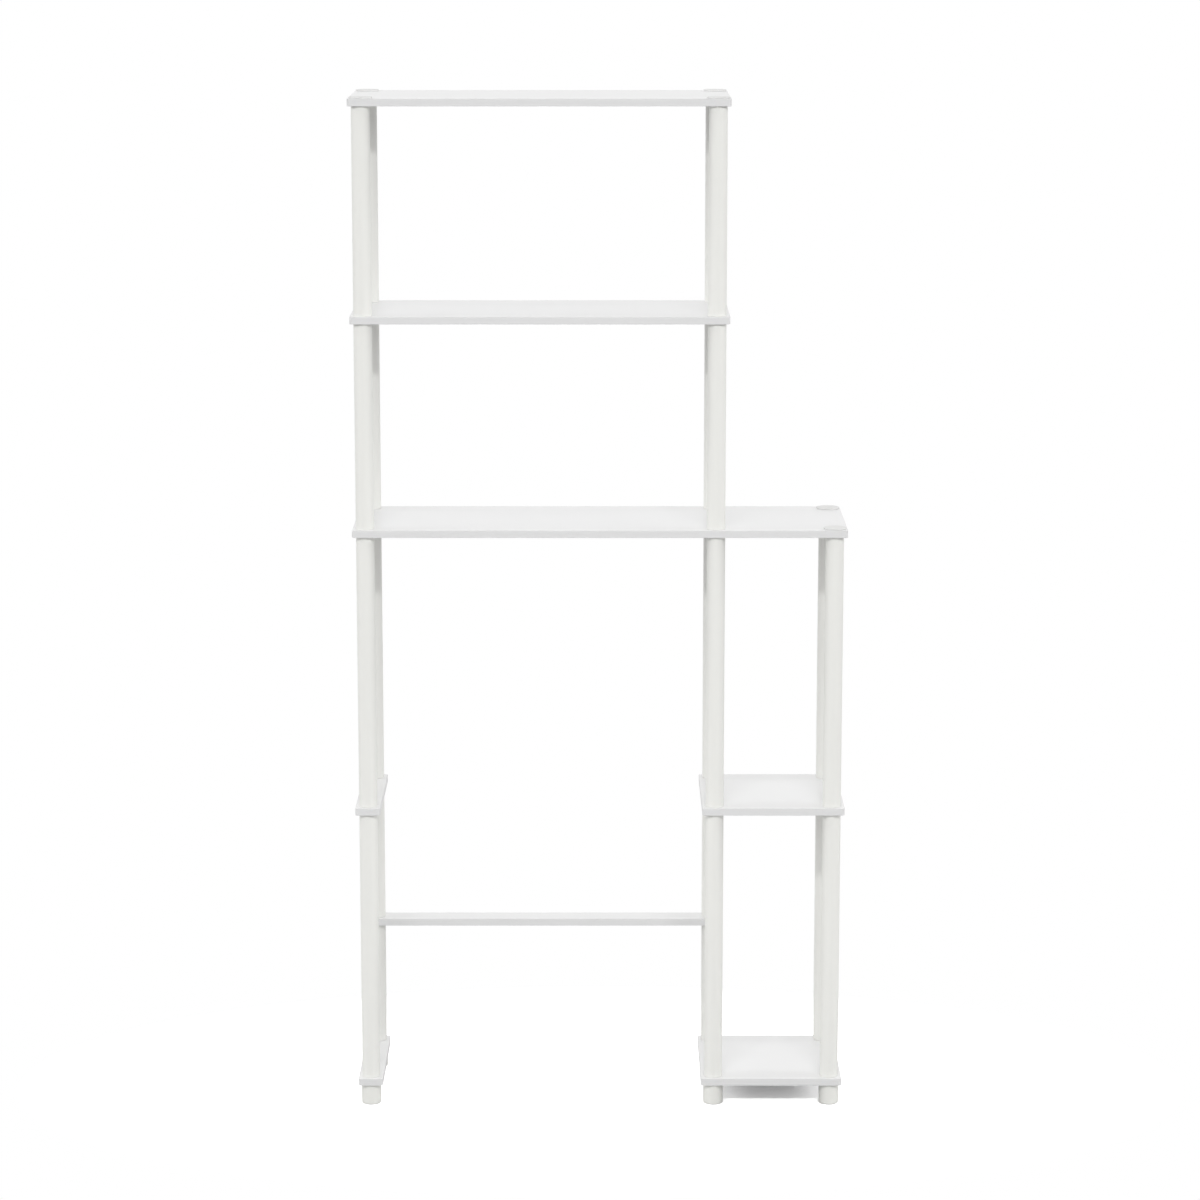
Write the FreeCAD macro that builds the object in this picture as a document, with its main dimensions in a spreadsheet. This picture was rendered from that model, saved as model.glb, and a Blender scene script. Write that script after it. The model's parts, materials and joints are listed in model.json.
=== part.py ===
import FreeCAD, Part
import math
import os
import Sketcher

# A white over-toilet shelf unit, in millimetres. Flat boards lie between round tubes, and each tube
# screws through a hole in the board under it into the tube or foot below.
# The origin is on the floor under the middle of the unit. +X is to the right seen from the front,
# +Y is towards the wall and +Z is up.

# Driving dimensions
SIZES = {
    # Boards: the main shelves lie over the left and centre tubes, the middle shelf over all of them
    "overall_width": 808,
    "main_shelf_width": 614,
    "shelf_depth": 245,
    "board_thickness": 12,
    "board_corner_radius": 5,
    "edge_band_thickness": 1,
    "edge_band_round": 0.5,
    # Tubes: tube_inset is from a board's edge to the tube's axis
    "tube_inset": 20.5,
    "tube_diameter": 30,
    "tube_wall": 1.6,
    "tube_end_chamfer": 0.4,
    "lower_tube_length": 453,
    "upper_tube_length": 337,
    "rear_lower_tube_length": 208,
    # Threaded ends in the tubes
    "insert_length": 24,
    "insert_clearance": 0.1,
    "stud_diameter": 12,
    "stud_engagement": 18,
    "stud_tip_chamfer": 1.2,
    "thread_clearance": 0.1,
    "board_hole_clearance": 0.5,
    # Feet and caps
    "foot_diameter": 33,
    "foot_height": 35,
    "foot_edge_round": 2.5,
    "foot_socket_end_gap": 3,
    "cap_diameter": 38,
    "cap_thickness": 2.2,
    "cap_edge_round": 0.6,
    "cap_under_chamfer": 0.6,
}

# Heights of the floor and of the boards' undersides, from the lowest up
FLOOR_Z = "0"
BOTTOM_Z = "sizes.foot_height"
CROSSBAR_Z = f"{BOTTOM_Z} + sizes.board_thickness + sizes.rear_lower_tube_length"
SIDE_Z = f"{BOTTOM_Z} + sizes.board_thickness + sizes.lower_tube_length"
MIDDLE_Z = f"{SIDE_Z} + sizes.board_thickness + sizes.lower_tube_length"
UPPER_Z = f"{MIDDLE_Z} + sizes.board_thickness + sizes.upper_tube_length"
TOP_Z = f"{UPPER_Z} + sizes.board_thickness + sizes.upper_tube_length"

# The six columns of tubes, as three places across and two from front to back
COLUMN_X = {
    "left": "sizes.tube_inset - sizes.overall_width / 2",
    "centre": "sizes.main_shelf_width - sizes.tube_inset - sizes.overall_width / 2",
    "right": "sizes.overall_width / 2 - sizes.tube_inset",
}
COLUMN_Y = {
    "front": "sizes.tube_inset - sizes.shelf_depth / 2",
    "back": "sizes.shelf_depth / 2 - sizes.tube_inset",
}

# Board widths and middles
MAIN_WIDTH = "sizes.main_shelf_width"
FULL_WIDTH = "sizes.overall_width"
SIDE_WIDTH = "sizes.overall_width - sizes.main_shelf_width + 2 * sizes.tube_inset"
RAIL_WIDTH = "2 * sizes.tube_inset"
DEPTH = "sizes.shelf_depth"
MAIN_X = "(sizes.main_shelf_width - sizes.overall_width) / 2"
SIDE_X = "sizes.main_shelf_width / 2 - sizes.tube_inset"
MIDDLE = "0"

# Fits between the threaded ends and what holds them
INSERT_DIAMETER = "sizes.tube_diameter - 2 * sizes.tube_wall - 2 * sizes.insert_clearance"
SOCKET_DIAMETER = "sizes.stud_diameter + 2 * sizes.thread_clearance"
BOARD_HOLE_DIAMETER = "sizes.stud_diameter + 2 * sizes.board_hole_clearance"
STUD_LENGTH = "sizes.board_thickness + sizes.stud_engagement"
FOOT_SOCKET_DEPTH = "sizes.stud_engagement + sizes.foot_socket_end_gap"

# Eased edges, each limited to a share of the wall that it is cut from, or half of that at a cap's two rims
EASE_SHARE = 0.8
BAND_ROUND = f"min(sizes.edge_band_round; {EASE_SHARE} * sizes.edge_band_thickness)"
TUBE_CHAMFER = f"min(sizes.tube_end_chamfer; {EASE_SHARE} * sizes.tube_wall)"
CAP_ROUND = f"min(sizes.cap_edge_round; {EASE_SHARE} * sizes.cap_thickness / 2)"
CAP_CHAMFER = f"min(sizes.cap_under_chamfer; {EASE_SHARE} * sizes.cap_thickness / 2)"

# Heights closer than this are the same
SAME_HEIGHT = 1e-6

doc = FreeCAD.newDocument("over_toilet_shelf")
sheet = doc.addObject("Spreadsheet::Sheet", "sizes")
for row, (name, size) in enumerate(SIZES.items(), start=1):
    sheet.set(f"A{row}", name)
    sheet.set(f"B{row}", str(size))
    sheet.setAlias(f"B{row}", name)
doc.recompute()

sub_parts = []


def value(formula):
    """The number that a formula of the sheet's sizes gives."""
    return float(sheet.evalExpression(formula))


def new_body(label):
    """An empty body for one piece."""
    body = doc.addObject("PartDesign::Body", label)
    body.Label = label
    return body


def place(piece, x, y, z):
    """Binds a piece's position to three formulas."""
    for axis, formula in zip("xyz", (x, y, z)):
        piece.setExpression(f"Placement.Base.{axis}", formula)


def flat_sketch(body, name):
    """A sketch on the body's own XY plane."""
    plane = next(f for f in body.Origin.OriginFeatures if f.Role == "XY_Plane")
    sketch = body.newObject("Sketcher::SketchObject", f"{body.Label}_{name}")
    sketch.AttachmentSupport = [(plane, "")]
    sketch.MapMode = "FlatFace"
    return sketch


def bind(sketch, formula, kind, *elements):
    """Adds a dimension to the sketch and binds it to a formula."""
    number = sketch.addConstraint(Sketcher.Constraint(kind, *elements, value(formula)))
    sketch.setExpression(f"Constraints[{number}]", formula)


def circle(sketch, diameter, x=MIDDLE, y=MIDDLE):
    """A circle with its diameter and centre bound to formulas."""
    centre = FreeCAD.Vector(value(x), value(y), 0)
    radius = value(diameter) / 2
    index = sketch.addGeometry(Part.Circle(centre, FreeCAD.Vector(0, 0, 1), radius))
    bind(sketch, diameter, "Diameter", index)
    if x == MIDDLE:
        sketch.addConstraint(Sketcher.Constraint("PointOnObject", index, 3, -2))
    else:
        bind(sketch, x, "DistanceX", -1, 1, index, 3)
    if y == MIDDLE:
        sketch.addConstraint(Sketcher.Constraint("PointOnObject", index, 3, -1))
    else:
        bind(sketch, y, "DistanceY", -1, 1, index, 3)


def rounded_rectangle(sketch, width, depth, radius):
    """A rectangle with round corners, centred on the sketch's origin and bound to formulas."""
    half_x = value(width) / 2
    half_y = value(depth) / 2
    corner = value(radius)
    sides = []
    arcs = []
    # Each side runs anticlockwise and is followed by the arc at its end
    for along_x, along_y in ((1, 0), (0, 1), (-1, 0), (0, -1)):
        out_x = along_y
        out_y = -along_x
        run_x = along_x * (half_x - corner)
        run_y = along_y * (half_y - corner)
        start = FreeCAD.Vector(out_x * half_x - run_x, out_y * half_y - run_y, 0)
        end = FreeCAD.Vector(out_x * half_x + run_x, out_y * half_y + run_y, 0)
        middle = end - FreeCAD.Vector(out_x, out_y, 0) * corner
        ring = Part.Circle(middle, FreeCAD.Vector(0, 0, 1), corner)
        angle = ring.parameter(end)
        arc = Part.ArcOfCircle(ring, angle, angle + math.pi / 2)
        sides.append(sketch.addGeometry(Part.LineSegment(start, end)))
        arcs.append(sketch.addGeometry(arc))
    for k in range(4):
        following = sides[(k + 1) % 4]
        sketch.addConstraint(Sketcher.Constraint("Tangent", sides[k], 2, arcs[k], 1))
        sketch.addConstraint(Sketcher.Constraint("Tangent", arcs[k], 2, following, 1))
        direction = ("Horizontal", "Vertical")[k % 2]
        sketch.addConstraint(Sketcher.Constraint(direction, sides[k]))
    for arc in arcs[1:]:
        sketch.addConstraint(Sketcher.Constraint("Equal", arcs[0], arc))
    front, right, back, left = sides
    bind(sketch, radius, "Radius", arcs[0])
    bind(sketch, width, "DistanceX", left, 1, right, 1)
    bind(sketch, depth, "DistanceY", front, 1, back, 1)
    bind(sketch, f"({width}) / 2", "DistanceX", left, 1, -1, 1)
    bind(sketch, f"({depth}) / 2", "DistanceY", front, 1, -1, 1)


def pad(body, sketch, length, downwards=False):
    """Raises the sketch by a bound length."""
    feature = body.newObject("PartDesign::Pad", f"{body.Label}_pad")
    feature.Profile = sketch
    feature.setExpression("Length", length)
    feature.Reversed = downwards
    doc.recompute()


def pocket(body, sketch, depth):
    """Sinks the sketch upwards into the body by a bound depth."""
    feature = body.newObject("PartDesign::Pocket", f"{body.Label}_pocket")
    feature.Profile = sketch
    feature.setExpression("Length", depth)
    feature.Reversed = True
    doc.recompute()


def outer_rims(shape, heights):
    """Names of the edges round the outside of the flat faces at the given heights."""
    rims = []
    for face in shape.Faces:
        box = face.BoundBox
        if any(abs(box.ZMin - z) < SAME_HEIGHT and abs(box.ZMax - z) < SAME_HEIGHT for z in heights):
            rims += face.OuterWire.Edges
    numbered = enumerate(shape.Edges, start=1)
    return [f"Edge{number}" for number, edge in numbered if any(edge.isSame(rim) for rim in rims)]


def ease(body, kind, size_name, formula, heights):
    """Rounds or chamfers the outer rims at the given heights."""
    base = body.Tip
    feature = body.newObject(f"PartDesign::{kind}", f"{body.Label}_{kind.lower()}")
    feature.Base = (base, outer_rims(base.Shape, heights))
    feature.setExpression(size_name, formula)
    doc.recompute()


def make_board(label, width, depth, columns, x, y, z):
    """A board with a hole at each column, and the thin band round its edge."""
    board = new_body(label)
    outline = flat_sketch(board, "outline")
    band = "sizes.edge_band_thickness"
    core_width = f"{width} - 2 * {band}"
    core_depth = f"{depth} - 2 * {band}"
    core_radius = f"sizes.board_corner_radius - {band}"
    rounded_rectangle(outline, core_width, core_depth, core_radius)
    # A narrow board's holes are on its middle line
    for across, along in columns:
        hole_x = f"{COLUMN_X[across]} - ({x})" if width != RAIL_WIDTH else MIDDLE
        hole_y = f"{COLUMN_Y[along]} - ({y})" if depth != RAIL_WIDTH else MIDDLE
        circle(outline, BOARD_HOLE_DIAMETER, hole_x, hole_y)
    pad(board, outline, "sizes.board_thickness")
    place(board, x, y, z)
    sub_parts.append(board)

    edge = new_body(f"{label}_edge_band")
    ring = flat_sketch(edge, "outline")
    rounded_rectangle(ring, width, depth, "sizes.board_corner_radius")
    rounded_rectangle(ring, core_width, core_depth, core_radius)
    pad(edge, ring, "sizes.board_thickness")
    ease(edge, "Fillet", "Radius", BAND_ROUND, (0, value("sizes.board_thickness")))
    place(edge, x, y, z)
    sub_parts.append(edge)


def make_tube(label, length, x, y, z):
    """A plain tube with its two ends chamfered outside."""
    tube = new_body(label)
    ring = flat_sketch(tube, "ring")
    circle(ring, "sizes.tube_diameter")
    circle(ring, "sizes.tube_diameter - 2 * sizes.tube_wall")
    pad(tube, ring, length)
    ease(tube, "Chamfer", "Size", TUBE_CHAMFER, (0, value(length)))
    place(tube, x, y, z)
    sub_parts.append(tube)


def make_foot(label, x, y):
    """A round foot with a socket for the stud of the tube above it."""
    foot = new_body(label)
    disc = flat_sketch(foot, "disc")
    circle(disc, "sizes.foot_diameter")
    pad(foot, disc, "sizes.foot_height")
    ease(foot, "Fillet", "Radius", "sizes.foot_edge_round", (0,))
    bore = flat_sketch(foot, "bore")
    circle(bore, SOCKET_DIAMETER)
    bore.setExpression("AttachmentOffset.Base.z", f"sizes.foot_height - ({FOOT_SOCKET_DEPTH})")
    pocket(foot, bore, FOOT_SOCKET_DEPTH)
    place(foot, x, y, FLOOR_Z)
    sub_parts.append(foot)


def add_stud(body):
    """A stud under the body, through the board and into the socket below it, with its tip chamfered."""
    shank = flat_sketch(body, "shank")
    circle(shank, "sizes.stud_diameter")
    pad(body, shank, STUD_LENGTH, downwards=True)
    ease(body, "Chamfer", "Size", "sizes.stud_tip_chamfer", (-value(STUD_LENGTH),))


def make_cap(label, x, y, z):
    """A thin round cap, undercut at its rim, with a stud that screws into the tube under the board."""
    cap = new_body(label)
    disc = flat_sketch(cap, "disc")
    circle(disc, "sizes.cap_diameter")
    pad(cap, disc, "sizes.cap_thickness")
    ease(cap, "Fillet", "Radius", CAP_ROUND, (value("sizes.cap_thickness"),))
    ease(cap, "Chamfer", "Size", CAP_CHAMFER, (0,))
    add_stud(cap)
    place(cap, x, y, z)
    sub_parts.append(cap)


def make_socket():
    """The threaded socket that is pressed into the top of a tube."""
    socket = new_body("tube_socket")
    ring = flat_sketch(socket, "ring")
    circle(ring, INSERT_DIAMETER)
    circle(ring, SOCKET_DIAMETER)
    pad(socket, ring, "sizes.insert_length", downwards=True)
    return socket


def make_stud_plug():
    """The plug with a threaded stud that is pressed into the bottom of a tube."""
    plug = new_body("tube_stud_plug")
    disc = flat_sketch(plug, "disc")
    circle(disc, INSERT_DIAMETER)
    pad(plug, disc, "sizes.insert_length")
    add_stud(plug)
    return plug


def make_group(label, piece, places):
    """Copies of one piece at several places, kept together as one sub-part of separate solids."""
    copies = []
    for x, y, z in places:
        copy = doc.addObject("App::Link", f"{label}_copy")
        copy.LinkedObject = piece
        place(copy, x, y, z)
        copies.append(copy)
    group = doc.addObject("Part::Compound", label)
    group.Label = label
    group.Links = copies
    sub_parts.append(group)


# Columns by the boards that they carry
LEFT_PAIR = [("left", "front"), ("left", "back")]
CENTRE_PAIR = [("centre", "front"), ("centre", "back")]
RIGHT_PAIR = [("right", "front"), ("right", "back")]
MAIN_FOUR = LEFT_PAIR + CENTRE_PAIR
SIDE_FOUR = CENTRE_PAIR + RIGHT_PAIR
ALL_SIX = MAIN_FOUR + RIGHT_PAIR
REAR_TWO = [("left", "back"), ("centre", "back")]
UNSPLIT_FOUR = [column for column in ALL_SIX if column not in REAR_TWO]

# Boards
make_board("top_shelf", MAIN_WIDTH, DEPTH, MAIN_FOUR, MAIN_X, MIDDLE, TOP_Z)
make_board("upper_shelf", MAIN_WIDTH, DEPTH, MAIN_FOUR, MAIN_X, MIDDLE, UPPER_Z)
make_board("middle_shelf", FULL_WIDTH, DEPTH, ALL_SIX, MIDDLE, MIDDLE, MIDDLE_Z)
make_board("side_shelf", SIDE_WIDTH, DEPTH, SIDE_FOUR, SIDE_X, MIDDLE, SIDE_Z)
make_board("bottom_shelf", SIDE_WIDTH, DEPTH, SIDE_FOUR, SIDE_X, MIDDLE, BOTTOM_Z)
make_board("left_middle_rail", RAIL_WIDTH, DEPTH, LEFT_PAIR, COLUMN_X["left"], MIDDLE, SIDE_Z)
make_board("left_bottom_rail", RAIL_WIDTH, DEPTH, LEFT_PAIR, COLUMN_X["left"], MIDDLE, BOTTOM_Z)
make_board("rear_crossbar", MAIN_WIDTH, RAIL_WIDTH, REAR_TWO, MAIN_X, COLUMN_Y["back"], CROSSBAR_Z)

# Tubes from the floor up: the tier, the tubes' name, their columns, their length and the board under them
LOWER = "sizes.lower_tube_length"
UPPER = "sizes.upper_tube_length"
REAR_LOWER = "sizes.rear_lower_tube_length"
REAR_UPPER = f"{LOWER} - {REAR_LOWER} - sizes.board_thickness"
TUBE_RUNS = [
    ("base", "base_tube", UNSPLIT_FOUR, LOWER, BOTTOM_Z),
    ("base", "base_short_tube", REAR_TWO, REAR_LOWER, BOTTOM_Z),
    ("base", "crossbar_tube", REAR_TWO, REAR_UPPER, CROSSBAR_Z),
    ("side", "side_tube", ALL_SIX, LOWER, SIDE_Z),
    ("middle", "middle_tube", MAIN_FOUR, UPPER, MIDDLE_Z),
    ("upper", "upper_tube", MAIN_FOUR, UPPER, UPPER_Z),
]
heads = {}
tails = {}
for tier, tube_name, columns, length, board_z in TUBE_RUNS:
    tail_z = f"{board_z} + sizes.board_thickness"
    for across, along in columns:
        x = COLUMN_X[across]
        y = COLUMN_Y[along]
        make_tube(f"{tube_name}_{across}_{along}", length, x, y, tail_z)
        heads.setdefault(tier, []).append((x, y, f"{tail_z} + {length}"))
        tails.setdefault(tier, []).append((x, y, tail_z))

# A socket in the head of every tube and a stud in its tail
socket = make_socket()
stud_plug = make_stud_plug()
for tier in heads:
    make_group(f"{tier}_tier_sockets", socket, heads[tier])
    make_group(f"{tier}_tier_studs", stud_plug, tails[tier])

# Feet under every column, and caps on the boards where a column ends
TOP_CAP_Z = f"{TOP_Z} + sizes.board_thickness"
SIDE_CAP_Z = f"{MIDDLE_Z} + sizes.board_thickness"
for across, along in ALL_SIX:
    make_foot(f"foot_{across}_{along}", COLUMN_X[across], COLUMN_Y[along])
for across, along in MAIN_FOUR:
    make_cap(f"top_cap_{across}_{along}", COLUMN_X[across], COLUMN_Y[along], TOP_CAP_Z)
for across, along in RIGHT_PAIR:
    make_cap(f"side_cap_{across}_{along}", COLUMN_X[across], COLUMN_Y[along], SIDE_CAP_Z)

doc.recompute()

# Every object has to be sound before anything is written
for item in doc.Objects:
    if {"Invalid", "Error"} & set(item.State):
        raise RuntimeError(f"{item.Label} failed: {item.State}")
for piece in sub_parts:
    if piece.Shape.isNull() or not piece.Shape.isValid():
        raise RuntimeError(f"{piece.Label} has no valid shape")

os.makedirs("parts", exist_ok=True)
for piece in sub_parts:
    piece.Shape.exportStep(f"parts/{piece.Label}.step")
print(f"{len(sub_parts)} sub-parts written")
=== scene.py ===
import json
import math

import bpy
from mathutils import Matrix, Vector


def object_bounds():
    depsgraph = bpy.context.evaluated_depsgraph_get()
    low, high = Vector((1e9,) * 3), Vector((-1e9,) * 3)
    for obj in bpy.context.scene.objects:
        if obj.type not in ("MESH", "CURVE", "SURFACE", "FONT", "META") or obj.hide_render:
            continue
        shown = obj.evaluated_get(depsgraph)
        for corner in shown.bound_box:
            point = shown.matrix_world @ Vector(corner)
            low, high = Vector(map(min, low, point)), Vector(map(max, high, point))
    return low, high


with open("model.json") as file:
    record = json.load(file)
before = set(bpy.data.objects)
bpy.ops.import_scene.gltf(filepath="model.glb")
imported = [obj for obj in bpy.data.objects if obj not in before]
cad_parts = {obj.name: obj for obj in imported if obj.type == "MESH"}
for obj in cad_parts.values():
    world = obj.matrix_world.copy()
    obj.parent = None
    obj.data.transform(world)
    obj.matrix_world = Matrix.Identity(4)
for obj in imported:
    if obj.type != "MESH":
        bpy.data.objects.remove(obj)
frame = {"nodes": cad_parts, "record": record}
cad_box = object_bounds()
nodes = frame["nodes"]
scene = bpy.context.scene
scene.view_settings.view_transform = "Standard"

# The camera stands in front of the object, a little above its top, and looks down at it. Its focal length
# is given in pixels of a square image.
IMAGE_SIDE = 1200
FOCAL_PIXELS = 3826
SENSOR_WIDTH = 36.0
EYE = (0.0, -6.2575, 2.034)
PITCH_DOWN = 0.1887

# Pale light comes from the whole sky. A thin strip lamp in front draws the boards' shadows on the tubes,
# and two pairs of broad lamps further off fill in the sides and the back.
SKY_LIGHT = 0.58
HORIZON_BLUR = 0.05
STRIP_PLACE = (0.0, -3.55, 3.06)
STRIP_AIM = (0.0, -1.6, 0.0)
STRIP_SIZE = (3.0, 0.2)
STRIP_POWER = 84.0
FILL_DISTANCE = 8.9
FILL_HEIGHT = 4.8
FILL_SIZE = (4.8, 2.6)
SIDE_ANGLE = math.radians(90.0)
SIDE_POWER = 215.0
BACK_ANGLE = math.radians(150.0)
BACK_POWER = 80.0

# The floor is a disc under the object: pale to the light and in gloss, and white to the eye where it isn't
# shaded. Its own shading shows round the object's footprint and fades to even white further out.
FLOOR_RADIUS = 4.0
FLOOR_SIDES = 96
FLOOR_COLOUR = (0.56, 0.56, 0.56, 1.0)
FLOOR_SEEN = (1.95, 1.95, 1.95, 1.0)
FLOOR_MIRRORED = (0.8, 0.8, 0.8, 1.0)
SHADE_REACH = (0.62, 0.36, 1.0)
SHADE_FADE = (1.0, 1.6)

# Plain white of the sky, of the background and of the floor further out
WHITE = (1.0, 1.0, 1.0, 1.0)

# Two close shades of each finish, mottled together by a noise whose values lie mostly in the range given
BOARD_SHADES = ((0.814, 0.814, 0.815, 1.0), (0.829, 0.829, 0.829, 1.0))
BAND_SHADES = ((0.765, 0.765, 0.766, 1.0), (0.785, 0.785, 0.785, 1.0))
TUBE_SHADES = ((0.862, 0.862, 0.830, 1.0), (0.880, 0.880, 0.846, 1.0))
FOOT_SHADES = ((0.860, 0.862, 0.824, 1.0), (0.880, 0.882, 0.844, 1.0))
CAP_SHADES = ((0.768, 0.768, 0.758, 1.0), (0.788, 0.788, 0.778, 1.0))
INSERT_SHADES = ((0.720, 0.720, 0.690, 1.0), (0.745, 0.745, 0.715, 1.0))
NOISE_RANGE = (0.3, 0.7)


def connect(tree, socket, value):
    """Set a shader node's socket to a plain value, or link another node's output to it."""
    if isinstance(value, bpy.types.NodeSocket):
        tree.links.new(value, socket)
    else:
        socket.default_value = value


def add_node(tree, kind, inputs, **settings):
    """Add a shader node with its settings, and fill its sockets by name or number."""
    made = tree.nodes.new(kind)
    for name, setting in settings.items():
        setattr(made, name, setting)
    for name, value in inputs.items():
        connect(tree, made.inputs[name], value)
    return made


def stretched(tree, vector, factors):
    """Scale coordinates by a factor for each axis."""
    made = add_node(tree, "ShaderNodeMapping", {"Vector": vector, "Scale": factors})
    return made.outputs["Vector"]


def noise(tree, vector, per_metre, detail):
    """Return the 0 to 1 value of a noise with so many features per metre along X, Y and Z."""
    scaled = stretched(tree, vector, per_metre)
    made = add_node(tree, "ShaderNodeTexNoise", {"Vector": scaled, "Scale": 1.0, "Detail": detail})
    return made.outputs["Fac"]


def mapped(tree, value, source, target=(0.0, 1.0)):
    """Map a value from one range to another."""
    inputs = {
        "Value": value,
        "From Min": source[0],
        "From Max": source[1],
        "To Min": target[0],
        "To Max": target[1],
    }
    return add_node(tree, "ShaderNodeMapRange", inputs).outputs["Result"]


def blended(tree, amount, shades):
    """Mix two shades by an amount from 0 to 1."""
    inputs = {"Factor": amount, "A": shades[0], "B": shades[1]}
    return add_node(tree, "ShaderNodeMix", inputs, data_type="RGBA").outputs["Result"]


def mixed(tree, amount, first, second):
    """Mix two shaders by an amount from 0 to 1."""
    return add_node(tree, "ShaderNodeMixShader", {"Fac": amount, 1: first, 2: second}).outputs["Shader"]


def mottled_finish(name, shades, mottle, mottle_detail, relief, relief_detail, depth, roughness, gloss):
    """Make a material that is mottled between two shades, with a fine relief.

    mottle and relief are noises, in features per metre along X, Y and Z. depth is the relief's height in
    metres, roughness the lowest and highest value, and gloss the specular level.
    """
    material = bpy.data.materials.new(name)
    material.use_nodes = True
    tree = material.node_tree
    shader = tree.nodes["Principled BSDF"]
    place = tree.nodes.new("ShaderNodeTexCoord").outputs["Object"]
    patches = noise(tree, place, mottle, mottle_detail)
    surface = noise(tree, place, relief, relief_detail)
    bump = add_node(tree, "ShaderNodeBump", {"Strength": 1.0, "Distance": depth, "Height": surface})
    connect(tree, shader.inputs["Base Color"], blended(tree, mapped(tree, patches, NOISE_RANGE), shades))
    connect(tree, shader.inputs["Roughness"], mapped(tree, patches, NOISE_RANGE, roughness))
    connect(tree, shader.inputs["Normal"], bump.outputs["Normal"])
    connect(tree, shader.inputs["Specular IOR Level"], gloss)
    return material


def board_finish():
    """White melamine: satin, with a fine orange-peel texture and faint broad mottling."""
    return mottled_finish(
        "melamine", BOARD_SHADES,
        mottle=(14.0, 14.0, 14.0), mottle_detail=4.0,
        relief=(700.0, 700.0, 700.0), relief_detail=3.0,
        depth=0.00012, roughness=(0.28, 0.34), gloss=0.5,
    )


def band_finish():
    """Plastic edge band: satin, with fine streaks along the edge."""
    return mottled_finish(
        "edge_band_plastic", BAND_SHADES,
        mottle=(9.0, 9.0, 300.0), mottle_detail=3.0,
        relief=(60.0, 60.0, 1200.0), relief_detail=2.0,
        depth=0.00012, roughness=(0.42, 0.5), gloss=0.45,
    )


def tube_finish():
    """Extruded plastic tube: warm white, soft gloss, with faint drawn lines along its length."""
    return mottled_finish(
        "extruded_plastic", TUBE_SHADES,
        mottle=(160.0, 160.0, 3.0), mottle_detail=3.0,
        relief=(600.0, 600.0, 6.0), relief_detail=2.0,
        depth=0.00012, roughness=(0.36, 0.44), gloss=0.45,
    )


def moulded_finish(name, shades):
    """Moulded plastic of the caps and feet: matt, with a fine spark-eroded grain."""
    return mottled_finish(
        name, shades,
        mottle=(70.0, 70.0, 70.0), mottle_detail=3.0,
        relief=(1200.0, 1200.0, 1200.0), relief_detail=3.0,
        depth=0.00015, roughness=(0.6, 0.7), gloss=0.3,
    )


def insert_finish():
    """Threaded ends inside the tubes: plain off-white plastic with fine ridges round the axis."""
    return mottled_finish(
        "insert_plastic", INSERT_SHADES,
        mottle=(90.0, 90.0, 90.0), mottle_detail=3.0,
        relief=(40.0, 40.0, 900.0), relief_detail=2.0,
        depth=0.00005, roughness=(0.5, 0.6), gloss=0.4,
    )


def seen_ray(tree):
    """Return 1 for rays from the camera and for those that a gloss or a clear piece passes on."""
    path = tree.nodes.new("ShaderNodeLightPath").outputs
    seen = path["Is Camera Ray"]
    for other in ("Is Glossy Ray", "Is Transmission Ray"):
        made = add_node(tree, "ShaderNodeMath", {0: seen, 1: path[other]}, operation="MAXIMUM")
        seen = made.outputs["Value"]
    return seen


def make_world():
    """Pale even light from above the horizon, in front of a white background."""
    world = bpy.data.worlds.new("studio")
    world.use_nodes = True
    tree = world.node_tree
    tree.nodes.remove(tree.nodes["Background"])
    direction = tree.nodes.new("ShaderNodeTexCoord").outputs["Generated"]
    height = add_node(tree, "ShaderNodeSeparateXYZ", {"Vector": direction}).outputs["Z"]
    strength = mapped(tree, height, (-HORIZON_BLUR, HORIZON_BLUR), (0.0, SKY_LIGHT))
    sky = add_node(tree, "ShaderNodeBackground", {"Color": WHITE, "Strength": strength})
    white = add_node(tree, "ShaderNodeBackground", {"Color": WHITE, "Strength": 1.0})
    surface = mixed(tree, seen_ray(tree), sky.outputs["Background"], white.outputs["Background"])
    connect(tree, tree.nodes["World Output"].inputs["Surface"], surface)
    scene.world = world


def floor_finish():
    """Pale floor that keeps the object's shadow, brighter to the eye, and even white further out."""
    material = bpy.data.materials.new("floor")
    material.use_nodes = True
    tree = material.node_tree
    tree.nodes.remove(tree.nodes["Principled BSDF"])
    place = tree.nodes.new("ShaderNodeTexCoord").outputs["Object"]
    shares = stretched(tree, place, [1.0 / reach for reach in SHADE_REACH])
    far = add_node(tree, "ShaderNodeVectorMath", {0: shares}, operation="LENGTH").outputs["Value"]
    to_camera = tree.nodes.new("ShaderNodeLightPath").outputs["Is Camera Ray"]
    tone = blended(tree, to_camera, (FLOOR_MIRRORED, FLOOR_SEEN))
    lit = add_node(tree, "ShaderNodeBsdfDiffuse", {"Color": FLOOR_COLOUR}).outputs["BSDF"]
    shaded = add_node(tree, "ShaderNodeBsdfDiffuse", {"Color": tone}).outputs["BSDF"]
    white = add_node(tree, "ShaderNodeEmission", {"Color": WHITE, "Strength": 1.0}).outputs["Emission"]
    seen = mixed(tree, mapped(tree, far, SHADE_FADE), shaded, white)
    surface = mixed(tree, seen_ray(tree), lit, seen)
    connect(tree, tree.nodes["Material Output"].inputs["Surface"], surface)
    return material


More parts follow.
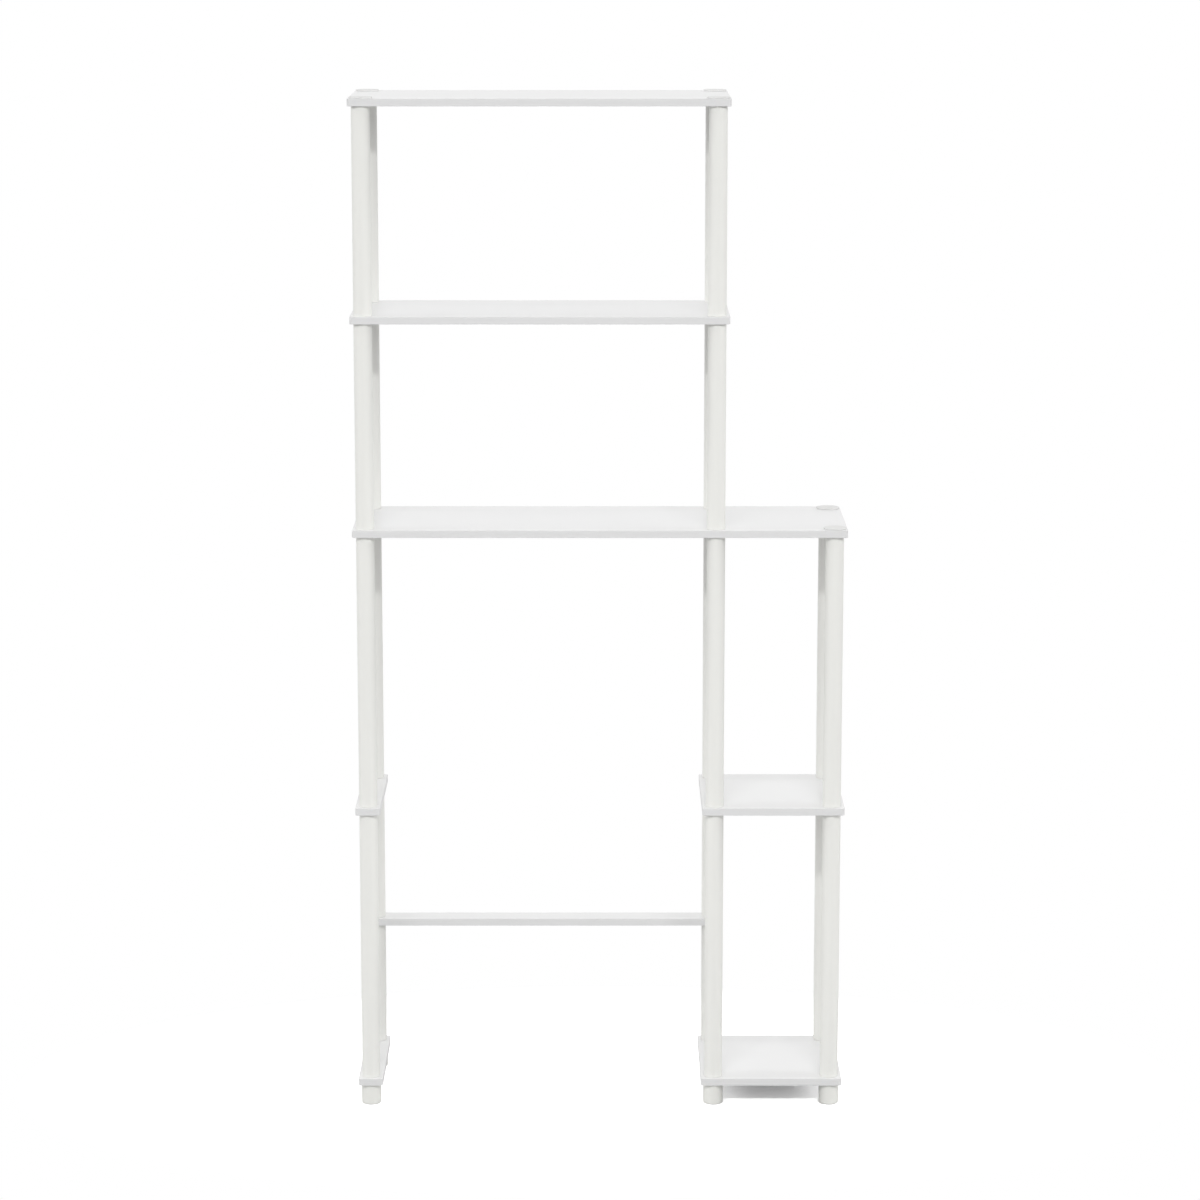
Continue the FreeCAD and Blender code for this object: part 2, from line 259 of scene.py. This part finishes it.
def make_floor():
    """Flat disc that the feet stand on."""
    rim = []
    for side in range(FLOOR_SIDES):
        angle = 2.0 * math.pi * side / FLOOR_SIDES
        rim.append((FLOOR_RADIUS * math.cos(angle), FLOOR_RADIUS * math.sin(angle), 0.0))
    mesh = bpy.data.meshes.new("floor")
    mesh.from_pydata(rim, [], [list(range(FLOOR_SIDES))])
    mesh.materials.append(floor_finish())
    floor = bpy.data.objects.new("floor", mesh)
    scene.collection.objects.link(floor)


def add_lamp(name, place, aim, size, power):
    """Add a rectangular lamp turned to a point. No gloss mirrors it."""
    light = bpy.data.lights.new(name, "AREA")
    light.shape = "RECTANGLE"
    light.size = size[0]
    light.size_y = size[1]
    light.energy = power
    lamp = bpy.data.objects.new(name, light)
    lamp.visible_glossy = False
    lamp.location = place
    lamp.rotation_euler = (Vector(aim) - lamp.location).to_track_quat("-Z", "Y").to_euler()
    scene.collection.objects.link(lamp)


def make_lamps():
    """Strip lamp in front of the object, and lamps left and right of it that fill in its sides and back."""
    add_lamp("front_strip", STRIP_PLACE, STRIP_AIM, STRIP_SIZE, STRIP_POWER)
    middle = (cad_box[0] + cad_box[1]) / 2
    for side, sign in (("left", -1), ("right", 1)):
        for name, angle, power in (("side", SIDE_ANGLE, SIDE_POWER), ("back", BACK_ANGLE, BACK_POWER)):
            place = (sign * FILL_DISTANCE * math.sin(angle), -FILL_DISTANCE * math.cos(angle), FILL_HEIGHT)
            add_lamp(f"{name}_lamp_{side}", place, middle, FILL_SIZE, power)


def make_camera():
    """Camera at the photograph's place, with no shift, so that other views keep the object in frame."""
    data = bpy.data.cameras.new("camera")
    data.sensor_width = SENSOR_WIDTH
    data.lens = SENSOR_WIDTH * FOCAL_PIXELS / IMAGE_SIDE
    camera = bpy.data.objects.new("camera", data)
    camera.location = EYE
    camera.rotation_euler = (math.pi / 2 - PITCH_DOWN, 0.0, 0.0)
    scene.collection.objects.link(camera)
    scene.camera = camera


finishes = {
    "board": board_finish(),
    "edge_band": band_finish(),
    "tube": tube_finish(),
    "foot_plastic": moulded_finish("foot_plastic", FOOT_SHADES),
    "cap_plastic": moulded_finish("cap_plastic", CAP_SHADES),
    "threaded_insert": insert_finish(),
}
for part in frame["record"]["subparts"]:
    nodes[part["node"]].data.materials[0] = finishes[part["material_slot"]]

make_world()
make_floor()
make_lamps()
make_camera()
